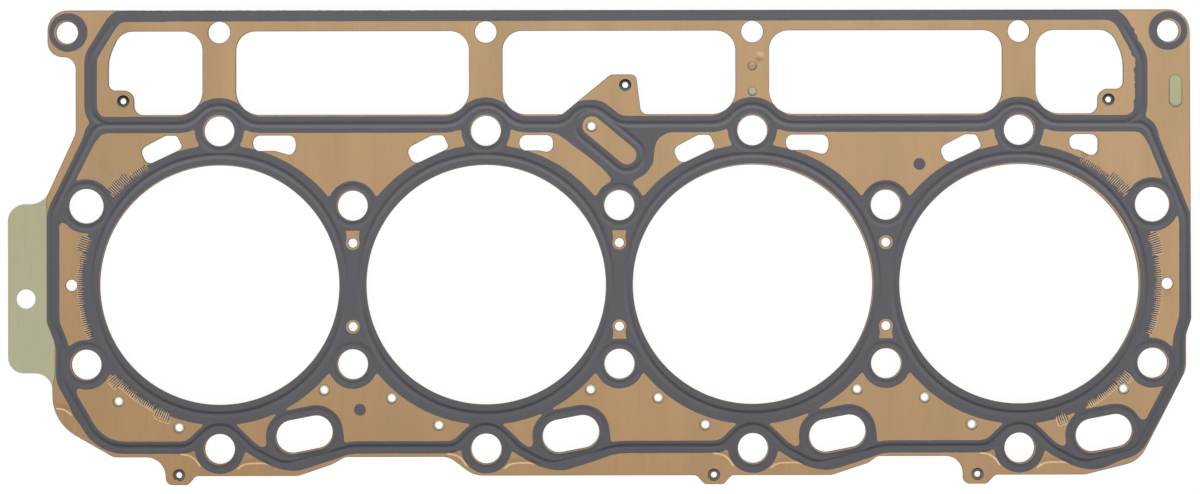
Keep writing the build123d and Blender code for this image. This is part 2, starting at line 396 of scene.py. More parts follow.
# %% Radial teeth and creases
tooth_pitch = 0.90
tooth_root = 58.8
tooth_height, tooth_half_widths = 0.12, (0.42, 0.42)
crease_height, crease_half_widths = 0.16, (1.9, 0.65)
step_height, step_half_widths = 0.08, (0.4, 0.4)
first_fields = [(121.5, 130, 62.3), (130, 141, 64.8), (160, 167, 64.6), (167, 203, 62.3)]
first_fields += [(220.5, 225, 64.3), (225, 242.5, 62.0), (243, 249.5, 64.0)]
last_fields = [(-74.5, -70, 64.0), (-60, -45, 62.0), (-45, -38.5, 64.2)]
last_fields += [(-21, 12, 62.4), (12, 21, 64.6), (40, 50, 64.4), (50, 64.5, 62.0)]
chance = random.Random(29)
teeth = []
for x, fields in ((cylinder_x[0], first_fields), (cylinder_x[-1], last_fields)):
    for first, last, reach in fields:
        for i in range(int((last - first) / tooth_pitch)):
            teeth.append((x, first + i * tooth_pitch, reach - chance.uniform(0.0, 0.5)))
tooth_beads = []
for x, angle, reach in teeth:
    ridge = spread([polar(x, tooth_root, angle), polar(x, reach, angle)], bead_step, False)
    tooth_beads.append((ridge, tooth_height, tooth_half_widths, False))

crease_left = [(-17.5, -73.3), (-14.0, -73.6), (-11.8, -74.5), (-9.7, -76.5), (-8.2, -79.2)]
crease_right = [(7.4, -80.2), (9.0, -78.4), (11.4, -77.5), (18.7, -77.2), (22.5, -78.0), (25.5, -79.6)]
corner_crease = [(-245.6, -53.4), (-243.0, -53.3), (-240.6, -54.2), (-238.2, -56.6)]
step_places = [
    (cylinder_x[0], ((64.6, 220.4), (64.6, 224.6), (62.3, 225), (62.2, 234), (62.2, 242.5))),
    (cylinder_x[0], ((64.4, 243.2), (64.3, 246), (64.3, 249.7), (62.4, 249.9))),
    (cylinder_x[-1], ((60.5, -74.6), (64.3, -74.6), (64.4, -70.2))),
    (cylinder_x[-1], ((62.2, -59), (62.2, -52), (62.2, -45.2), (64.4, -44.8), (64.4, -38.6))),
]
steps = [[polar(x, r, a) for r, a in places] for x, places in step_places]
steps = [spread(line, bead_step, False) for line in steps]
creases = [[(x + dx, y) for dx, y in crease] for x in cylinder_x for crease in (crease_left, crease_right)]
creases = [soften(spread(line, bead_step, False), 2, False) for line in creases + [corner_crease]]
tooth_beads += [(line, crease_height, crease_half_widths, False) for line in creases]
tooth_beads += [(line, step_height, step_half_widths, False) for line in steps]

main_beads = [(line, bead_height, bead_half_widths, True) for line in bead_lines]
all_beads = main_beads + fine_beads + tooth_beads
print("teeth:", len(teeth), "pressed lines in all:", len(all_beads))

# %% [markdown]
# ## One height for any place
# The press gives the sheet one surface, so one function gives its height. A k-d tree finds the pieces of
# pressed line near a place. The height falls away from the crest as a squared cosine, and an open line
# fades to nothing at its ends, because steel would tear at a step.

# %% Bead height anywhere on the sheet
dent_at = (61.4, 99.0)
dent_depth, dent_radius = 0.3, 2.3
fade_points = 8
search_reach = 2.0


def bead_field(beads):
    """A function that gives the bead height above the flat sheet at a place."""
    marks = []
    for line, height, half_widths, closed in beads:
        last = len(line) - 1
        ramp = min(fade_points, last / 4)
        fades = [1.0 if closed else min(1.0, i / ramp, (last - i) / ramp) for i in range(last + 1)]
        for i, point in enumerate(line):
            after = (i + 1) % (last + 1) if closed else min(i + 1, last)
            marks.append((point, line[after], height * fades[i], height * fades[after], half_widths))
    tree = kdtree.KDTree(len(marks))
    for i, mark in enumerate(marks):
        tree.insert((*mark[0], 0), i)
    tree.balance()

    def height_at(x, y):
        best = 0.0
        for _, i, _ in tree.find_range((x, y, 0), search_reach):
            (ax, ay), (bx, by), height, next_height, half_widths = marks[i]
            dx, dy = bx - ax, by - ay
            length = dx * dx + dy * dy
            along = 0.0 if length == 0 else max(0.0, min(1.0, ((x - ax) * dx + (y - ay) * dy) / length))
            away = math.hypot(x - ax - dx * along, y - ay - dy * along)
            on_left = dx * (y - ay) - dy * (x - ax) > 0
            half_width = half_widths[0] if on_left else half_widths[1]
            if away < half_width:
                crest = height + (next_height - height) * along
                best = max(best, crest * math.cos(math.pi * away / half_width / 2) ** 2)
        from_dent = math.hypot(x - dent_at[0], y - dent_at[1])
        if from_dent < dent_radius:
            best -= dent_depth * math.cos(math.pi * from_dent / dent_radius / 2) ** 2
        return best

    return height_at


bead_height_at = bead_field(all_beads)
print("crest height beside the first cylinder:", round(bead_height_at(*bore_beads[0][0]), 3))

# %% [markdown]
# ## Lines beside a line
# A printed band follows its bead, as wide on the left as on the right. It is cut into short patches,
# because a closed shape may not cross itself.


# %% Bands and boxes
def beside(line, offsets, closed=True):
    """Lines that run beside a line, each at its own distance to the left."""
    count = len(line)
    rows = [[] for _ in offsets]
    for i, (x, y) in enumerate(line):
        before = line[i - 1] if closed or i > 0 else line[i]
        after = line[(i + 1) % count] if closed or i < count - 1 else line[i]
        dx, dy = after[0] - before[0], after[1] - before[1]
        length = math.hypot(dx, dy)
        for row, offset in zip(rows, offsets):
            wide = offset(x, y) if callable(offset) else offset
            row.append((x - dy / length * wide, y + dx / length * wide))
    return rows


def band(line, width_at, closed=True):
    """Patches that follow a line, as wide on each side as width_at says for the place."""
    left, right = beside(line, [width_at, lambda x, y: -width_at(x, y)], closed)
    if closed:
        left, right = left + left[:1], right + right[:1]
    step = 6
    pairs = [(left[i : i + step + 1], right[i : i + step + 1]) for i in range(0, len(left) - 1, step)]
    return [one + other[::-1] for one, other in pairs]


def coolant_band_width(x, y):
    """The band is wider along the line under the windows."""
    share = max(0.0, min(1.0, (y - 62.0) / 5.0))
    return 2.7 + 0.9 * share


def box(left, low, right, high):
    """A rectangle as a closed line."""
    return [(left, low), (right, low), (right, high), (left, high)]


# %% [markdown]
# ## Where the rubber coating lies
# The coating is screen-printed: a ring round each cylinder and bolt hole, and a band along each bead.
# Each printed shape is a closed line. Overlapping shapes need no joining, because the triangulation
# used later tells which shapes cover each triangle. The bare places inside the print are lines too.

# %% Every printed shape
top_band_y, beyond_edge = 114.8, 122.0
ink_edge = 61.0
top_ring, web_ring, low_ring, dowel_ring, ear_ring = 10.7, 10.8, 10.9, 11.8, 8.5
slot_ring, island_ring, window_band = 11.7, 11.4, 2.75
coated = []
for x in cylinder_x:
    coated.append(circle(x, 0, ink_edge))
    coated.append(circle(x, top_bolt_y, top_ring))
    coated.append(circle(x, bottom_bolt_y, low_ring))
for x in web_x:
    for side in (1, -1):
        coated.append(circle(x, side * upper_web_y, web_ring))
        coated.append(box(x - 2, side * 16, x + 2, side * 26))
for x in end_x:
    coated.append(circle(x, upper_web_y, dowel_ring))
    coated.append(circle(x, lower_web_y, low_ring))
coated += [circle(-239.7, 110.1, ear_ring), circle(239.0, 110.1, ear_ring)]
coated += band(coolant_bead, coolant_band_width)
for corners, turn in ((left_window, (-218.8, 117.4, 7.0)), (right_window, (216.9, 117.6, 9.0))):
    along_edge = (turn[0] * 0.9, turn[1], 0)
    strip = spread(bent_line(corners + [turn, along_edge]), bead_step, False)
    coated += band(strip, lambda x, y: window_band, False)
coated.append(box(-208.0, top_band_y, 205.0, beyond_edge))
coated += [capsule(*ends, slot_ring) for ends in slots]
apron = [(30.0, -76.0), (25.1, -79.4), (28.3, -80.6), (31.8, -80.9), (35.2, -80.6), (38.6, -79.5)]
long_end = [(46.0, -77.2), (53.4, -74.7), (53.4, -73.4)]
short_end = [(43.5, -77.2), (43.5, -75.5)]
for x in cylinder_x:
    apron_end = short_end if x == cylinder_x[-1] else long_end
    coated.append(circle(x + 26.5, -55.3, 2.1))
    coated.append(circle(x + 20.9, -71.6, 1.9))
    coated.append([(x + dx, y) for dx, y in apron + apron_end])
    coated.append([(x + 46.0, -70.0), (x + 54.0, -70.0), (x + 54.0, -64.5), (x + 46.0, -64.0)])
coated += [circle(-237.9, -45.2, 1.9), circle(227.6, -60.6, 1.5), circle(-242.8, 29.0, 1.9)]
coated.append(capsule(*island, island_ring))
island_left = [(-31.5, 69.0), (-29.6, 66.2), (-26.6, 65.5), (-8.4, 51.8), (-3.4, 46.1), (-3.7, 43.0)]
island_right = [(6.0, 43.0), (5.9, 44.9), (11.7, 48.1), (15.0, 53.1), (15.3, 59.0)]
island_right += [(16.8, 63.4), (21.5, 66.2), (24.0, 69.0)]
coated.append(island_left + island_right)
coated += [circle(130.7, 52.2, 2.8), circle(-113.0, -54.3, 2.8)]
coated += [circle(-238.0, -54.6, 0.9), circle(-237.0, -56.6, 1.1), circle(-235.9, -58.6, 0.8)]


def keystone(x, side):
    """A bare patch that widens from a web vent towards the bolt hole."""
    half_sides = ((2.9, 18.2), (2.65, 20.4), (2.75, 22.0), (3.1, 23.6))
    outer = [(x + half, side * y) for half, y in half_sides]
    return outer + [(x - half, side * y) for half, y in reversed(half_sides)]


bare = [capsule(*island, 4.1)]
for x in web_x:
    for side in (1, -1):
        bare.append(circle(x, side * 18.2, 3.0))
bare += [keystone(-116, 1), keystone(0, 1), keystone(0, -1), keystone(116, -1)]
bare += [circle(-240.5, 110.0, 5.3), circle(239.35, 110.1, 5.3)]
for x, shift in ((-174.0, -0.12), (-58.0, 0.05), (58.0, 0.3), (174.0, 0.4)):
    bare.append(circle(x + shift, abs(shift), 52.35))
bare += [circle(x * 1.0012, y * 1.003, 6.85) for x, y in bolt_holes]
bare += [capsule(ax, ay - 0.3, bx, by - 0.3, 7.45) for ax, ay, bx, by in slots]
print("printed shapes:", len(coated), "bare places:", len(bare))

# %% [markdown]
# ## One ink border
# Wet ink doesn't keep sharp corners: where two printed shapes meet, surface tension rounds the notch
# between them. So the shapes are first joined into one area, and its border is then spread into even
# points and averaged, which rounds every corner. A little seeded wander keeps it from looking ruled.
# Beside the right end window the ink ran, so the wander is larger there.


# %% Joining the printed shapes
merge_gap = 1e-4
ink_step, ink_reach, ink_slack = 0.5, 3, 0.02
least_area = 1.0
even_wander, rough_wander = 0.09, 1.2


def border_lines(triangles):
    """The closed lines of point numbers that go round a set of triangles."""
    after = {}
    for a, b, c in triangles:
        for start, end in ((a, b), (b, c), (c, a)):
            if start in after.get(end, ()):
                after[end].remove(start)
            else:
                after.setdefault(start, []).append(end)
    lines = []
    for first in list(after):
        while after[first]:
            line = [first]
            here = after[first].pop()
            while here != first:
                line.append(here)
                here = after[here].pop()
            lines.append(line)
    return lines


def drawing(lines):
    """Points and counter-clockwise faces for a list of closed lines."""
    points, faces = [], []
    for line in lines:
        faces.append(list(range(len(points), len(points) + len(line))))
        points += [Vector(p) for p in (line if area_of(line) > 0 else line[::-1])]
    return points, faces


def thin_out(line, slack, longest=6.0):
    """Leaves out points that lie within slack of the run between their neighbours."""
    kept = [line[0]]
    start = 0
    for i in range(2, len(line)):
        (ax, ay), (bx, by) = line[start], line[i]
        run = max(math.dist(line[start], line[i]), 1e-6)
        off = max(abs((bx - ax) * (y - ay) - (by - ay) * (x - ax)) for x, y in line[start + 1 : i]) / run
        if off > slack or run > longest:
            kept.append(line[i - 1])
            start = i - 1
    return kept


def wander(line, chance):
    """Moves each point a little to one side, in slow waves."""
    pushes = [chance.uniform(-1, 1) for _ in line]
    moved = []
    for i, (x, y) in enumerate(line):
        wave = sum(pushes[(i + k) % len(line)] for k in range(-2, 3)) / 5
        rough_place = 222.0 < x < 227.0 and 72.0 < y < 112.0
        size = rough_wander if rough_place else even_wander
        ax, ay = line[i - 1]
        bx, by = line[(i + 1) % len(line)]
        length = max(math.hypot(bx - ax, by - ay), 1e-6)
        moved.append((x - (by - ay) / length * wave * size, y + (bx - ax) / length * wave * size))
    return moved


def ink_borders(shapes):
    """The rounded borders of the area that the shapes cover together."""
    points, faces = drawing(shapes)
    flat, _, triangles, _, _, cover = delaunay_2d_cdt(points, [], faces, 0, merge_gap, True)
    inked = [t for t, covering in zip(triangles, cover) if covering]
    chance = random.Random(11)
    borders = []
    for numbers in border_lines(inked):
        line = [tuple(flat[i]) for i in numbers]
        if abs(area_of(line)) > least_area:
            line = soften(spread(line, ink_step), ink_reach)
            borders.append(thin_out(wander(line, chance), ink_slack))
    return borders


ink = ink_borders(coated)
print("ink borders:", len(ink), "points:", sum(len(line) for line in ink))

# %% [markdown]
# ## Painted shade and painted highlight between the teeth
# Each groove between two teeth gets a thin dark sliver in the coating colour that reaches past the
# ring's edge: painted shade for the shadow in the groove. Each crest gets a thin gap in the ink inside
# the ring, where the lacquer and the painted highlight of the next cell show.


# %% Slivers of painted shade and gaps on the crests
groove_shade_widths, crest_gap_widths = (0.58, 0.46), (0.5, 0.24)


def sliver(x, angle, root, tip, root_width, tip_width):
    """A narrow four-sided shape along a radius of the cylinder at x."""
    half_root = math.degrees(root_width / 2 / root)
    half_tip = math.degrees(tip_width / 2 / tip)
    corners = ((root, -half_root), (tip, -half_tip), (tip, half_tip), (root, half_root))
    return [polar(x, radius, angle + turn) for radius, turn in corners]


groove_shade_slivers, crest_glint_gaps = [], []
for x, angle, reach in teeth:
    tip = max(reach - chance.uniform(0.1, 0.6), ink_edge + 0.3)
    groove_shade_slivers.append(sliver(x, angle + tooth_pitch / 2, ink_edge - 0.6, tip, *groove_shade_widths))
    crest_glint_gaps.append(sliver(x, angle, ink_edge + 0.4, ink_edge - chance.uniform(1.0, 2.2), *crest_gap_widths))
print("painted shade slivers in the grooves:", len(groove_shade_slivers))

# %% [markdown]
# ## Painted highlights
# A thin closed shape along each crease, each step and each tooth crest takes a lighter lacquer colour
# later. This is a painted highlight: it stands in for the glint of the lamps on these slopes.


# %% Painted highlights on creases, steps and tooth crests
crest_highlight_widths = (0.42, 0.3)


def ribbon(line, left, right):
    """A closed narrow shape along an open line, tapered to a point at both ends."""
    last = len(line) - 1
    inner = line[1:last]
    left_side, right_side = beside(inner, [left, -right], False)
    return line[:1] + left_side + line[last:] + right_side[::-1]


painted_highlights = []
for line in creases:
    painted_highlights.append(ribbon(line, 0.05, 0.6))
for line in steps:
    painted_highlights.append(ribbon(line, 0.16, 0.16))
for x, angle, reach in teeth:
    painted_highlights.append(sliver(x, angle, ink_edge - 0.9, reach, *crest_highlight_widths))
print("painted highlights on creases, steps and teeth:", len(painted_highlights))

# %% [markdown]
# ## Turning lines into sheets
# Blender's Delaunay tool fills a flat drawing with triangles that follow every line put into it, and
# reports which closed shapes cover each triangle. A triangle inside the outline and in no hole is steel.
# The bead rows go in as extra points, so that the ridge has enough triangles to bend smoothly.
# Each triangle keeps the number of its finish, and the walls round each opening are cut steel.


# %% Sheet builder
rim_width = 0.25
rim_drop = 0.05
flat_merge_gap = 1e-5
sharp_angle = math.radians(50)
# The fourth finish is a lighter lacquer that paints highlights on creases, steps, tooth crests and a shaded
# face.
FACE, COATED, CUT_EDGE, PAINTED_HIGHLIGHT = range(4)


def flat_triangles(outline, holes, shapes, extra_rows):
    """Points, triangles and the shapes that cover each triangle, for one drawing."""
    points, faces = drawing([outline] + holes + shapes)
    for row in extra_rows:
        points += [Vector(p) for p in row]
    flat, _, triangles, _, _, cover = delaunay_2d_cdt(points, [], faces, 0, merge_gap, True)
    first_shape = 1 + len(holes)
    kept = []
    for triangle, covering in zip(triangles, cover):
        if 0 in covering and not any(1 <= c < first_shape for c in covering):
            kept.append((triangle, [c - first_shape for c in covering if c >= first_shape]))
    return flat, kept


def plain_fill(lines):
    """Triangles of point numbers inside the first line and outside the others."""
    numbers, faces, points = [], [], []
    for line in lines:
        turned = line if area_of([p for _, p in line]) > 0 else line[::-1]
        faces.append(list(range(len(points), len(points) + len(turned))))
        numbers += [i for i, _ in turned]
        points += [Vector(p) for _, p in turned]
    _, _, triangles, origin, _, cover = delaunay_2d_cdt(points, [], faces, 0, flat_merge_gap, True)
    filled = []
    for triangle, covering in zip(triangles, cover):
        if 0 in covering and len(covering) == 1:
            filled.append(tuple(numbers[origin[i][0]] for i in triangle))
    return filled


def rim_lines(outline, holes):
    """Lines that run a little way into the steel from the outline and from each hole."""
    rims = []
    for line in [outline] + holes:
        turned = line if area_of(line) > 0 else line[::-1]
        inward = rim_width if line is outline else -rim_width
        rims += beside(turned, [inward])
    return rims


def sheet_object(name, flat, kept, face_z, back_z, slot_of, upward=True, back_slot=FACE):
    """A closed thin sheet. The drawn side follows face_z, and the other side is flat at back_z."""
    used = sorted({i for triangle, _ in kept for i in triangle})
    number = {old: new for new, old in enumerate(used)}
    front = [tuple(number[i] for i in triangle) for triangle, _ in kept]
    places = [tuple(flat[i]) for i in used]
    verts = [(x * MM, y * MM, face_z(x, y) * MM) for x, y in places]
    borders = border_lines(front)
    drop = rim_drop if upward else -rim_drop
    behind = {}
    for line in borders:
        for i in line:
            if i not in behind:
                x, y, z = verts[i]
                verts[i] = (x, y, z - drop * MM)
                behind[i] = len(verts)
                verts.append((x, y, back_z * MM))
    lines = [[(i, places[i]) for i in line] for line in borders]
    lines.sort(key=lambda line: -abs(area_of([p for _, p in line])))
    faces = list(front)
    slots = [slot_of(covering) for _, covering in kept]
    for a, b, c in plain_fill(lines):
        faces.append((behind[c], behind[b], behind[a]))
        slots.append(back_slot)
    for line in borders:
        for start, end in zip(line, line[1:] + line[:1]):
            faces.append((start, behind[start], behind[end], end))
            slots.append(CUT_EDGE)
    if not upward:
        faces = [face[::-1] for face in faces]
    mesh = bpy.data.meshes.new(name)
    mesh.from_pydata(verts, [], faces)
    mesh.polygons.foreach_set("material_index", slots)
    curved = [len({round(verts[i][2], 8) for i in face}) > 1 for face in faces]
    mesh.update()
    mesh.set_sharp_from_angle(angle=sharp_angle)
    mesh.polygons.foreach_set("use_smooth", curved)
    print(name, len(verts), "points", len(mesh.polygons), "faces")
    return placed(name, mesh)


# %% [markdown]
# ## Rims and the sheared rail edge
# A punch pulls the edge of a sheet down a little before it cuts, so every opening has a narrow rounded
# rim where the lacquer is gone. That rim is what draws a fine dark line round each hole.
# The long upper edge of the top sheet was sheared through its coating, and that leaves it slightly
# ragged. Small random notches along that one edge give the same look from close up.


# %% Ragged rail edge
notch_pitch = 1.1
deep_notch, small_notch = 0.5, 0.12


def ragged_edge(line, chance):
    """The outline with small notches along its long upper run."""
    runs = zip(line, line[1:] + line[:1])
    ragged = []
    for (ax, ay), (bx, by) in runs:
        ragged.append((ax, ay))
        run = math.dist((ax, ay), (bx, by))
        if run < 300 or min(ay, by) < 100:
            continue
        count = int(run / notch_pitch)
        for i in range(1, count):
            share = i / count
            x = ax + (bx - ax) * share
            deep = deep_notch if -205 < x < -55 else small_notch
            ragged.append((x, ay + (by - ay) * share - deep * chance.random() ** 2))
    return ragged


top_outline = ragged_edge(top_lines[0], random.Random(5))
print("points on the ragged outline:", len(top_outline))

# %% [markdown]
# ## Drain holes
# At each small drain hole the top sheet is punched wider than the carrier below it, so a narrow ring of
# the olive carrier shows round the hole. The bottom sheet's hole lies between the two in width.

# %% Wider drain holes in the top sheet
drain_in_cad = 1.45


def is_drain(line):
    """True for the small round drain holes."""
    x, y = centre_of(line)
    radius = math.dist(line[0], (x, y))
    return abs(radius - drain_in_cad) < 0.2


def holes_of(lines, drain_radius):
    """The holes of a sheet, with its drain holes at this radius."""
    return [circle(*centre_of(line), drain_radius, 32) if is_drain(line) else line for line in lines[1:]]


top_holes = holes_of(top_lines, 2.3)
middle_holes = holes_of(middle_lines, 1.6)
bottom_holes = holes_of(bottom_lines, 1.9)
print("drain holes:", sum(is_drain(line) for line in top_lines[1:]))

# %% [markdown]
# ## The top sheet
# The drawing holds the outline, holes, ink, painted shade slivers, crest gaps and bare places, painted
# highlight lines and rims in that order, so the number of a shape tells its kind. A high bead gets seven
# rows of points across it and a low one fewer.

# %% The top sheet
carrier_low, carrier_high = 0.25, 0.85
sheet_gap = 0.001
seven_rows = [-1.0, -0.67, -0.33, 0.0, 0.33, 0.67, 1.0]
five_rows = [-1.0, -0.5, 0.0, 0.5, 1.0]
three_rows = [-1.0, 0.0, 1.0]
narrow = 0.7
bead_rows = []
for line, height, (left, right), closed in all_beads:
    shares = seven_rows if height >= strip_height else five_rows if left > narrow else three_rows
    bead_rows += beside(line, [share * (left if share > 0 else right) for share in shares], closed)
bead_rows += [circle(*dent_at, share * dent_radius, 24) for share in (0.25, 0.5, 0.75, 1.0)]
first_groove_shade = len(ink)
first_bare = first_groove_shade + len(groove_shade_slivers)
first_highlight = first_bare + len(crest_glint_gaps) + len(bare)
first_rim = first_highlight + len(painted_highlights)
print_shapes = ink + groove_shade_slivers + crest_glint_gaps + bare + painted_highlights
top_shapes = print_shapes + rim_lines(top_outline, top_holes)
top_flat, top_kept = flat_triangles(top_outline, top_holes, top_shapes, bead_rows)


def top_slot(covering):
    """The finish of a triangle, from the shapes that cover it."""
    if first_rim not in covering or any(c > first_rim for c in covering):
        return CUT_EDGE
    # Groove shade slivers take the coating colour as painted shade; crest gaps open the ink so lacquer or
    # painted highlight shows.
    inside = sum(c < first_groove_shade for c in covering) % 2 == 1
    tooth = any(first_groove_shade <= c < first_bare for c in covering)
    open_place = any(first_bare <= c < first_highlight for c in covering)
    if (inside or tooth) and not open_place:
        return COATED
    return PAINTED_HIGHLIGHT if any(first_highlight <= c < first_rim for c in covering) else FACE


def top_height(x, y):
    """The height of the top sheet's upper side."""
    return stack_top + bead_height_at(x, y)


top_sheet = sheet_object("top_sheet", top_flat, top_kept, top_height, carrier_high + sheet_gap, top_slot)

# %% [markdown]
# ## The middle sheet and the bottom sheet
# The carrier is flat steel with nothing printed on it. The bottom sheet is printed like the top one, on
# its underside. A hair's breadth is left between the sheets, because faces in one plane would flicker.

# %% The middle sheet and the bottom sheet
middle_flat, middle_kept = flat_triangles(middle_lines[0], middle_holes, [], [])
middle_sheet = sheet_object(
    "middle_sheet", middle_flat, middle_kept, lambda x, y: carrier_high, carrier_low, lambda covering: FACE
)
bottom_shapes = print_shapes + rim_lines(bottom_lines[0], bottom_holes)
bottom_flat, bottom_kept = flat_triangles(bottom_lines[0], bottom_holes, bottom_shapes, [])
bottom_back = carrier_low - sheet_gap
# The bottom sheet's upper face lies in shade down the inspection holes, so it takes the highlight lacquer
# as painted light.
bottom_sheet = sheet_object(
    "bottom_sheet", bottom_flat, bottom_kept, lambda x, y: 0.0, bottom_back, top_slot, False, PAINTED_HIGHLIGHT
)
print("sheets:", [sheet.name for sheet in (top_sheet, middle_sheet, bottom_sheet)])

# %% [markdown]
# ## The eyelets
# A hollow eyelet is a short tube with a rolled rim at each end. Its section is drawn once as a short
# profile of radius and height, and turned round its axis for each of the six places.


# %% Six eyelets
eyelet_section = [(1.32, 0.02), (1.30, 0.55), (1.32, 1.10), (1.42, 1.205), (1.65, 1.247)]
eyelet_section += [(2.05, 1.225), (2.45, 1.165), (2.66, 1.125), (2.68, 1.102)]
eyelet_section += [(1.66, 1.10), (1.64, 0.55), (1.66, 0.15), (2.64, 0.149), (2.66, 0.12)]
eyelet_section += [(2.45, 0.03), (2.05, 0.004), (1.60, 0.003), (1.42, 0.006)]


def lathe(name, section, x, y, around=40):
    """A ring that has this section all the way round an axis at (x, y)."""
    verts, faces = [], []
    size = len(section)
    for i in range(around):
        angle = 2 * math.pi * i / around
        for radius, z in section:
            verts.append(((x + radius * math.cos(angle)) * MM, (y + radius * math.sin(angle)) * MM, z * MM))
    for i in range(around):
        for k in range(size):
            a, b = i * size + k, i * size + (k + 1) % size
            c, d = ((i + 1) % around) * size + (k + 1) % size, ((i + 1) % around) * size + k
            faces.append((a, b, c, d))
    mesh = bpy.data.meshes.new(name)
    mesh.from_pydata(verts, [], faces)
    mesh.polygons.foreach_set("use_smooth", [True] * len(faces))
    mesh.update()
    return placed(name, mesh)


eyelets = []
for number in range(1, 7):
    low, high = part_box(f"eyelet_{number}")
    x, y = (low.x + high.x) / 2 / MM, (low.y + high.y) / 2 / MM
    eyelets.append(lathe(f"rolled_eyelet_{number}", eyelet_section, x, y))
print("eyelets:", len(eyelets))

# %% [markdown]
# ## Short ways to build nodes
# A finish is a tree of nodes. Small functions make a node with its values, a material and a group, so
# the cells below read like a list of what is mixed.


# %% Node helpers
def add_node(nodes, kind, values=None, **settings):
    """A shader node of this kind, with its settings and the values of its inputs."""
    node = nodes.new("ShaderNode" + kind)
    for label, value in settings.items():
        setattr(node, label, value)
    for label, value in (values or {}).items():
        node.inputs[label].default_value = value
    return node


def new_material(name):
    """An empty node material with a Principled shader."""
    material = bpy.data.materials.new(name)
    material.use_nodes = True
    nodes = material.node_tree.nodes
    nodes.clear()
    shader = add_node(nodes, "BsdfPrincipled")
    output = add_node(nodes, "OutputMaterial")
    material.node_tree.links.new(shader.outputs["BSDF"], output.inputs["Surface"])
    return material, nodes, material.node_tree.links, shader


def new_group(name, inputs, outputs):
    """A group with named numbers in and out, and a node in it that reads object coordinates."""
    group = bpy.data.node_groups.new(name, "ShaderNodeTree")
    for side, labels in (("INPUT", inputs), ("OUTPUT", outputs)):
        for label in labels:
            group.interface.new_socket(label, in_out=side, socket_type="NodeSocketFloat")
    place = add_node(group.nodes, "TexCoord")
    given, end = group.nodes.new("NodeGroupInput"), group.nodes.new("NodeGroupOutput")
    return group, group.nodes, group.links, place.outputs["Object"], given.outputs, end.inputs


def noise_node(nodes, links, vector, scale, detail=2.0, stretch=(1, 1, 1)):
    """Noise at a scale per metre, stretched by a share on each axis."""
    mapping = add_node(nodes, "Mapping", {"Scale": stretch})
    noise = add_node(nodes, "TexNoise", {"Scale": scale, "Detail": detail})
    links.new(vector, mapping.inputs["Vector"])
    links.new(mapping.outputs["Vector"], noise.inputs["Vector"])
    return noise.outputs["Fac"]


def weighed(nodes, links, terms):
    """The sum of (noise, amount) sockets, each noise taken about its middle value of one half."""
    total = None
    for noise, amount in terms:
        about_middle = add_node(nodes, "Math", {1: 0.5}, operation="SUBTRACT")
        step = add_node(nodes, "Math", {2: 0.0}, operation="MULTIPLY_ADD")
        links.new(noise, about_middle.inputs[0])
        links.new(about_middle.outputs["Value"], step.inputs[0])
        links.new(amount, step.inputs[1])
        if total is not None:
            links.new(total, step.inputs[2])
        total = step.outputs["Value"]
    return total


# %% [markdown]
# ## Grain, painted sheen bands, mottling and a painted light gradient
# Strip steel keeps a soft grain of fine fibres along the direction in which it was rolled, and on this
# sheet that is across the short way. Broad soft bands in the same direction are painted sheen, not grain.
# A printed layer is cloudy and speckled. Every colour is also painted lighter towards the rail and the
# right end: a painted gradient of light. Each of these habits is built once as a node group, and each
# finish says how much of it to take.

# %% Three habits as node groups
amounts = ["Band amount", "Fibre amount"]
grain_and_sheen_bands, nodes, links, place, given, end = new_group("rolled grain and painted sheen bands", amounts, ["Tone", "Bands"])
# The broad bands are painted sheen, stripes that stand in for the overhead lamp's reflection; the fine
# fibres are the rolling grain.
bands = noise_node(nodes, links, place, 55.0, 2.0, (1.0, 0.12, 1.0))
fibres = noise_node(nodes, links, place, 900.0, 3.0, (1.0, 0.05, 1.0))
links.new(weighed(nodes, links, zip((bands, fibres), given)), end["Tone"])
links.new(bands, end["Bands"])

amounts = ["Cloud amount", "Speck amount"]
mottling, nodes, links, place, given, end = new_group("print mottling", amounts, ["Tone", "Specks"])
clouds = noise_node(nodes, links, place, 70.0, 3.0)
specks = noise_node(nodes, links, place, 2200.0, 4.0)
links.new(weighed(nodes, links, zip((clouds, specks), given)), end["Tone"])
links.new(specks, end["Specks"])

# This group paints every colour lighter towards the rail and towards the right end: a painted gradient of
# light and sheen.
painted_light_gradient, nodes, links, place, given, end = new_group("painted light gradient", ["Rightward share"], ["Along"])
parts = add_node(nodes, "SeparateXYZ")
along = add_node(nodes, "Mix")
links.new(place, parts.inputs["Vector"])
for axis, side, start, stop in (("Y", "A", -0.087, 0.120), ("X", "B", -0.266, 0.249)):
    share = add_node(nodes, "MapRange", {"From Min": start, "From Max": stop})
    links.new(parts.outputs[axis], share.inputs["Value"])
    links.new(share.outputs["Result"], along.inputs[side])
links.new(given["Rightward share"], along.inputs["Factor"])
links.new(along.outputs["Result"], end["Along"])
print("groups:", [group.name for group in bpy.data.node_groups])

# %% [markdown]
# ## One recipe for every finish
# The layers are all thin and even, so one recipe serves: a colour painted darker at the lower edge and
# lighter at the rail as painted light, made lighter and darker by grain, painted sheen bands and clouds,
# with a fine bump from the specks.


# %% A finish from drift, grain and mottling
rough_spread = 0.05
bump_distance = 0.00001


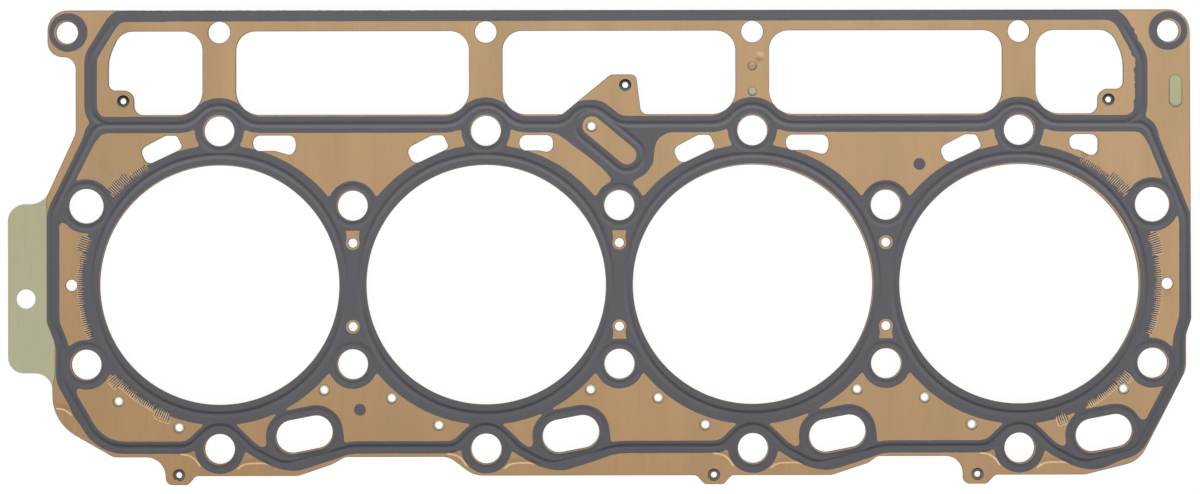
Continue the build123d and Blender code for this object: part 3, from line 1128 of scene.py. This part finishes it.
def sheet_finish(name, low, high, weights, roughness, metallic, bump):
    """A sheet material painted darker at the lower edge and lighter at the rail, as painted light."""
    material, nodes, links, shader = new_material(name)
    right, bands, fibres, clouds, specks = weights
    light_gradient = add_node(nodes, "Group", node_tree=painted_light_gradient)
    strip = add_node(nodes, "Group", node_tree=grain_and_sheen_bands)
    cloud = add_node(nodes, "Group", node_tree=mottling)
    light_gradient.inputs["Rightward share"].default_value = right
    strip.inputs["Band amount"].default_value = bands
    strip.inputs["Fibre amount"].default_value = fibres
    cloud.inputs["Cloud amount"].default_value = clouds
    cloud.inputs["Speck amount"].default_value = specks
    # The blend paints the lower edge darker and the rail lighter: painted light, not a change in the layer.
    blend = add_node(nodes, "Mix", {"A": (*low, 1), "B": (*high, 1)}, data_type="RGBA")
    links.new(light_gradient.outputs["Along"], blend.inputs["Factor"])
    grain = add_node(nodes, "Math", {1: 1.0}, operation="ADD")
    tone = add_node(nodes, "Math", operation="ADD")
    links.new(strip.outputs["Tone"], grain.inputs[0])
    links.new(grain.outputs["Value"], tone.inputs[0])
    links.new(cloud.outputs["Tone"], tone.inputs[1])
    value = add_node(nodes, "HueSaturation")
    links.new(tone.outputs["Value"], value.inputs["Value"])
    links.new(blend.outputs["Result"], value.inputs["Color"])
    links.new(value.outputs["Color"], shader.inputs["Base Color"])
    limits = {"To Min": roughness - rough_spread, "To Max": roughness + rough_spread}
    rough = add_node(nodes, "MapRange", limits)
    links.new(strip.outputs["Bands"], rough.inputs["Value"])
    links.new(rough.outputs["Result"], shader.inputs["Roughness"])
    height = add_node(nodes, "Bump", {"Strength": bump, "Distance": bump_distance})
    links.new(cloud.outputs["Specks"], height.inputs["Height"])
    links.new(height.outputs["Normal"], shader.inputs["Normal"])
    shader.inputs["Metallic"].default_value = metallic
    return material


# %% [markdown]
# ## Six finishes
# Each finish has a darker colour at the lower edge and a lighter one at the rail: painted light. Its
# surface says how much of that painted gradient runs to the right, how much painted sheen bands, fibres,
# clouds and specks, and then roughness, metal and bump. The highlight lacquer is lacquer made lighter as a
# painted highlight. Lacquer and coating hide the metal, so they are hardly metallic. Only the eyelets are
# bare, blackened steel.

# %% Colours, weights and surface of each finish
rows = [
    ("bronze lacquer", (0.285, 0.158, 0.053), (0.51, 0.335, 0.174)),
    ("grey rubber coating", (0.022, 0.021, 0.029), (0.1, 0.098, 0.113)),
    ("cut steel edge", (0.12, 0.075, 0.045), (0.2, 0.135, 0.085)),
    # This row is a painted highlight: a lighter lacquer for creases, steps, tooth crests and the bottom
    # sheet's shaded upper face.
    ("polished lacquer", (0.47, 0.31, 0.16), (0.56, 0.4, 0.24)),
    ("olive zinc", (0.37, 0.355, 0.222), (0.43, 0.43, 0.255)),
    ("blackened steel", (0.05, 0.048, 0.042), (0.08, 0.078, 0.066)),
]
surfaces = [
    ((0.25, 0.36, 0.14, 0.04, 0.05), 0.42, 0.15, 0.3),
    ((0.08, 0.04, 0.04, 0.08, 0.16), 0.36, 0.0, 0.4),
    ((0.5, 0.3, 0.4, 0.2, 0.2), 0.5, 0.3, 0.4),
    ((0.5, 0.1, 0.3, 0.1, 0.1), 0.32, 0.3, 0.2),
    ((0.5, 0.04, 0.14, 0.06, 0.16), 0.5, 0.1, 0.6),
    ((0.5, 0.4, 0.2, 0.8, 0.5), 0.28, 0.9, 0.4),
]
finishes = [sheet_finish(*colours, *surface) for colours, surface in zip(rows, surfaces)]
lacquer, coating, cut_edge, highlight_lacquer, zinc, dark_steel = finishes
# The fourth material on both printed sheets is the lighter lacquer of the painted highlights.
for sheet in (top_sheet, bottom_sheet):
    for material in (lacquer, coating, cut_edge, highlight_lacquer):
        sheet.data.materials.append(material)
for material in (zinc, coating, cut_edge):
    middle_sheet.data.materials.append(material)
for ring in eyelets:
    ring.data.materials.append(dark_steel)
print("materials:", len(bpy.data.materials))

# %% [markdown]
# ## Handing the pieces to the frame
# Nothing on this part moves, so each piece rides on the root. The three sheets stand for the one joined
# solid of the CAD model, and each rolled eyelet stands for its own solid.

# %% Tell the frame which piece stands for which node
for sheet in (top_sheet, middle_sheet, bottom_sheet):
    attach(sheet, "root")
    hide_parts("steel_layers")
for number, ring in enumerate(eyelets, start=1):
    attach(ring, "root")
    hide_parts(f"eyelet_{number}")
print("pieces handed over:", 3 + len(eyelets))

# %% [markdown]
# ## White table
# A product photographer would lay the gasket on a lit white table. The table glows for the camera and
# in reflections, and it takes only a little light from the lamp, so the shadow stays faint.

# %% Table
table_reach, table_height = 3, -0.0004
corners = box(-table_reach, -table_reach, table_reach, table_reach)
floor_mesh = bpy.data.meshes.new("table_top")
floor_mesh.from_pydata([(x, y, table_height) for x, y in corners], [], [(0, 1, 2, 3)])
floor = placed("table_top", floor_mesh)
white, nodes, links, shader = new_material("white table")
nodes.remove(shader)
output = next(n for n in nodes if n.type == "OUTPUT_MATERIAL")
matte = add_node(nodes, "BsdfDiffuse", {"Color": (0.13, 0.13, 0.13, 1)})
glow = add_node(nodes, "Emission", {"Color": (1, 1, 1, 1)})
seen = add_node(nodes, "LightPath")
either = add_node(nodes, "Math", operation="MAXIMUM")
share = add_node(nodes, "Math", {1: 0.9}, operation="MULTIPLY")
add = add_node(nodes, "AddShader")
links.new(seen.outputs["Is Camera Ray"], either.inputs[0])
links.new(seen.outputs["Is Glossy Ray"], either.inputs[1])
links.new(either.outputs["Value"], share.inputs[0])
links.new(share.outputs["Value"], glow.inputs["Strength"])
links.new(matte.outputs["BSDF"], add.inputs[0])
links.new(glow.outputs["Emission"], add.inputs[1])
links.new(add.outputs["Shader"], output.inputs["Surface"])
floor_mesh.materials.append(white)
print("table:", floor.name)

# %% [markdown]
# ## Lamps
# The lamp stands low in front of the lower edge: a low light is what makes a 0.2 mm bead visible.
# A wide soft box nearly overhead puts an even sheen on the lacquer, and the room adds a faint fill.

# %% World and lamps
world = bpy.data.worlds.new("studio")
bpy.context.scene.world = world
world.use_nodes = True
backdrop = world.node_tree.nodes["Background"]
backdrop.inputs["Color"].default_value = (1, 1, 1, 1)
backdrop.inputs["Strength"].default_value = 0.16

key = bpy.data.lights.new("key", "SUN")
key.energy = 3.6
key.angle = math.radians(10)
key_lamp = placed("key", key)
key_elevation = math.radians(17)
toward_lamp = Vector((-0.5, -0.87, math.tan(key_elevation)))
key_lamp.rotation_euler = toward_lamp.to_track_quat("Z", "Y").to_euler()

softbox = bpy.data.lights.new("softbox", "AREA")
softbox.shape = "RECTANGLE"
softbox.size = 2.6
softbox.size_y = 1.0
softbox.energy = 20.0
softbox_lamp = placed("softbox", softbox)
softbox_lamp.location = (0.0, -0.39, 1.5)
softbox_lamp.rotation_euler = (math.radians(14), 0, 0)
print("key lamp turned to", [round(math.degrees(a)) for a in key_lamp.rotation_euler])

# %% [markdown]
# ## Camera
# The photograph looks straight down on the flat part, so the camera hangs above its middle, turned by
# the same tenth of a degree. A long lens keeps the walls of the holes out of sight.

# %% Camera straight above, as in the photograph
view = bpy.data.cameras.new("camera")
view.sensor_width = 36
view.lens = 68.85
view.clip_start = 0.01
camera = placed("camera", view)
camera.location = (-0.0084, 0.01633, 1.0)
camera.rotation_euler = (0, 0, -0.001878)
bpy.context.scene.camera = camera
bpy.context.scene.view_settings.view_transform = "Standard"
print("camera height in metres:", camera.location.z)

bpy.context.view_layer.update()
